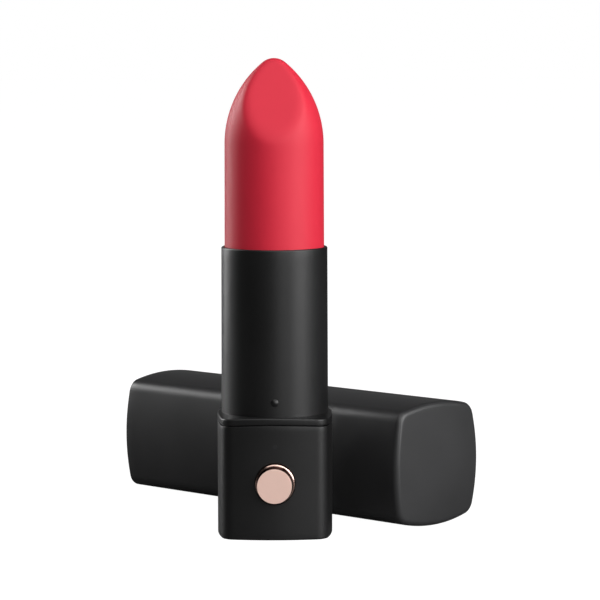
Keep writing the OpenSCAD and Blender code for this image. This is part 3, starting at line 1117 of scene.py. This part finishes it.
class LIPCASE_OT_cap_liner(bpy.types.Operator):
    """Build the liner inside the cap with its round bore and snap groove"""

    bl_idname = "lipcase.cap_liner"
    bl_label = "Cap liner"

    def execute(self, context):
        sizes = context.scene.lipcase_sizes
        colours = context.scene.lipcase_colours
        angles = outline_angles()
        width = sizes.cap_width
        wall = sizes.cap_wall
        start = 0.6 * MM
        bore = sizes.liner_bore / 2
        groove = sizes.liner_groove / 2
        click = sizes.bump_height - sizes.ledge_height
        half = 0.8 * MM
        lead = 0.4 * MM
        top = sizes.cap_length - sizes.cap_end_wall
        depth = sizes.liner_depth
        rings = [bulged_ring(angles, width, wall, top, sizes, 0)]
        rings.append(bulged_ring(angles, width, wall, top, sizes))
        rings.append(bulged_ring(angles, width, wall, start, sizes))
        for turn in quarter_turns(6):
            rings.append(round_ring(angles, bore + lead * (1 - sin(turn)), start + lead * (1 - cos(turn))))
        rings.append(round_ring(angles, bore, click - half))
        for step in range(9):
            turn = pi * step / 8
            rings.append(round_ring(angles, bore + (groove - bore) * sin(turn), click - half * cos(turn)))
        rings.append(round_ring(angles, bore, click + half + 1 * MM))
        rings.append(round_ring(angles, bore, depth - 1 * MM))
        for turn in quarter_turns(6):
            rings.append(round_ring(angles, bore - MM * (1 - cos(turn)), depth - MM * (1 - sin(turn))))
        rings.append(round_ring(angles, 0, depth))
        liner = skin("cap_inner_liner", rings)
        lay_down(liner, sizes)
        lining = moulded(
            "liner plastic", colours.liner_black, roughness=0.4, scale=5000, specular_ior_level=0.5,
        )
        dress(liner, lining, "liner_plastic", "cap", "cap_liner")
        return {"FINISHED"}


class LIPCASE_OT_carried_nodes(bpy.types.Operator):
    """Give the frame's own parts their finishes"""

    bl_idname = "lipcase.carried_nodes"
    bl_label = "Inner parts"

    def execute(self, context):
        colours = context.scene.lipcase_colours
        for node, material in node_materials(colours).items():
            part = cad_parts[node]
            part.data.materials.clear()
            part.data.materials.append(material)
        return {"FINISHED"}


# ---------------------------------------------------------------- stage


def look_along(position, direction, roll=0):
    """A matrix that looks along a direction, with level sides unless rolled."""
    forward = Vector(direction).normalized()
    right = forward.cross(Vector((0, 0, 1))).normalized()
    upward = right.cross(forward)
    rolled_right = right * cos(roll) + upward * sin(roll)
    rolled_up = upward * cos(roll) - right * sin(roll)
    turn = Matrix((rolled_right, rolled_up, -forward)).transposed().to_4x4()
    return Matrix.Translation(position) @ turn


def softbox(name, position, target, size, power, colour=(1, 1, 1)):
    light = bpy.data.lights.new(name, "AREA")
    light.shape = "RECTANGLE"
    light.size = size[0]
    light.size_y = size[1]
    light.energy = power
    light.color = colour
    lamp = bpy.data.objects.new(name, light)
    bpy.context.scene.collection.objects.link(lamp)
    lamp.matrix_world = look_along(Vector(position), Vector(target) - Vector(position))
    return lamp


def floor_material(colours):
    """A plain pale floor that stays white in sight and lights the case only a little."""
    material, tree, shader = new_material("pale floor")
    shader.inputs["Roughness"].default_value = 0.9
    shader.inputs["Specular IOR Level"].default_value = 0.1
    shader.inputs["Base Color"].default_value = rgba(colours.floor_white)
    glow = tree.nodes.new("ShaderNodeEmission")
    glow.inputs["Strength"].default_value = 1
    both = tree.nodes.new("ShaderNodeAddShader")
    tree.links.new(shader.outputs[0], both.inputs[0])
    tree.links.new(glow.outputs[0], both.inputs[1])
    path = tree.nodes.new("ShaderNodeLightPath")
    choose = tree.nodes.new("ShaderNodeMixShader")
    tree.links.new(path.outputs["Is Camera Ray"], choose.inputs["Fac"])
    tree.links.new(shader.outputs[0], choose.inputs[1])
    tree.links.new(both.outputs[0], choose.inputs[2])
    tree.links.new(choose.outputs[0], tree.nodes["Material Output"].inputs["Surface"])
    return material


class LIPCASE_OT_stage(bpy.types.Operator):
    """Set the pale floor, the studio lights and the camera"""

    bl_idname = "lipcase.stage"
    bl_label = "Floor, lights and camera"

    def execute(self, context):
        sizes = context.scene.lipcase_sizes
        colours = context.scene.lipcase_colours
        self.build_floor(colours)
        self.build_world(context)
        self.build_lights()
        self.build_camera(context, sizes)
        context.scene.view_settings.view_transform = "Standard"
        return {"FINISHED"}

    def build_floor(self, colours):
        half = 4
        builder = bmesh.new()
        corners = []
        for x, y in ((-half, -half), (half, -half), (half, half), (-half, half)):
            corners.append(builder.verts.new((x, y, 0)))
        builder.faces.new(corners)
        floor = finished_object("floor", builder)
        floor.data.materials.append(floor_material(colours))

    def build_world(self, context):
        world = bpy.data.worlds.new("studio")
        context.scene.world = world
        world.use_nodes = True
        tree = world.node_tree
        backdrop = tree.nodes["Background"]
        backdrop.inputs["Color"].default_value = (1, 1, 1, 1)
        backdrop.inputs["Strength"].default_value = 0.005
        seen = tree.nodes.new("ShaderNodeBackground")
        seen.inputs["Color"].default_value = (1, 1, 1, 1)
        path = tree.nodes.new("ShaderNodeLightPath")
        choose = tree.nodes.new("ShaderNodeMixShader")
        tree.links.new(path.outputs["Is Camera Ray"], choose.inputs["Fac"])
        tree.links.new(backdrop.outputs[0], choose.inputs[1])
        tree.links.new(seen.outputs[0], choose.inputs[2])
        tree.links.new(choose.outputs[0], tree.nodes["World Output"].inputs["Surface"])

    def build_lights(self):
        target = (0, 0, 0.05)
        softbox("key_softbox", (0.5, -0.33, 0.22), target, (0.35, 0.6), 3.2)
        softbox("front_right", (0.25, -0.75, 0.3), target, (0.3, 0.5), 1.45)
        softbox("right_strip", (0.68, -0.14, 0.33), target, (0.3, 0.5), 1.5)
        softbox("rim_strip", (-0.46, 0.39, 0.14), target, (0.1, 0.5), 1.9)
        softbox("left_panel", (-0.9, 0.45, 0.5), target, (0.5, 0.5), 4)
        softbox("back_panel", (0, 1.3, 0.3), target, (1.6, 0.4), 0.3)
        softbox("high_front", (0.1, -0.5, 0.9), target, (1.2, 1.2), 5.5)

    def build_camera(self, context, sizes):
        camera_data = bpy.data.cameras.new("camera")
        camera_data.lens = sizes.camera_lens
        camera_data.sensor_width = 36
        camera_data.clip_start = 0.01
        camera_data.clip_end = 20
        camera = bpy.data.objects.new("camera", camera_data)
        context.scene.collection.objects.link(camera)
        direction = (
            sin(sizes.camera_turn) * cos(sizes.camera_dip),
            cos(sizes.camera_turn) * cos(sizes.camera_dip),
            -sin(sizes.camera_dip),
        )
        position = (0, -sizes.camera_distance, sizes.camera_height)
        camera.matrix_world = look_along(Vector(position), direction, sizes.camera_roll)
        context.scene.camera = camera


# ---------------------------------------------------------------- panel and start


class LIPCASE_PT_panel(bpy.types.Panel):
    """Lists the pieces of the case in the order they are built"""

    bl_idname = "LIPCASE_PT_panel"
    bl_label = "Lipstick case"
    bl_space_type = "VIEW_3D"
    bl_region_type = "UI"
    bl_category = "Lipstick case"

    def draw(self, context):
        for step in BUILD_STEPS:
            self.layout.operator(step.bl_idname)


BUILD_STEPS = (
    LIPCASE_OT_stage,
    LIPCASE_OT_base_shell,
    LIPCASE_OT_collar,
    LIPCASE_OT_silicone_sleeve,
    LIPCASE_OT_button,
    LIPCASE_OT_cap_shell,
    LIPCASE_OT_cap_liner,
    LIPCASE_OT_carried_nodes,
)

CLASSES = (CaseSizes, CaseColours, LIPCASE_PT_panel) + BUILD_STEPS


def register():
    for each in CLASSES:
        bpy.utils.register_class(each)
    bpy.types.Scene.lipcase_sizes = bpy.props.PointerProperty(type=CaseSizes)
    bpy.types.Scene.lipcase_colours = bpy.props.PointerProperty(type=CaseColours)


def unregister():
    del bpy.types.Scene.lipcase_colours
    del bpy.types.Scene.lipcase_sizes
    for each in reversed(CLASSES):
        bpy.utils.unregister_class(each)


def main():
    register()
    for step in BUILD_STEPS:
        area, action = step.bl_idname.split(".")
        getattr(getattr(bpy.ops, area), action)()


if __name__ == "__main__":
    main()
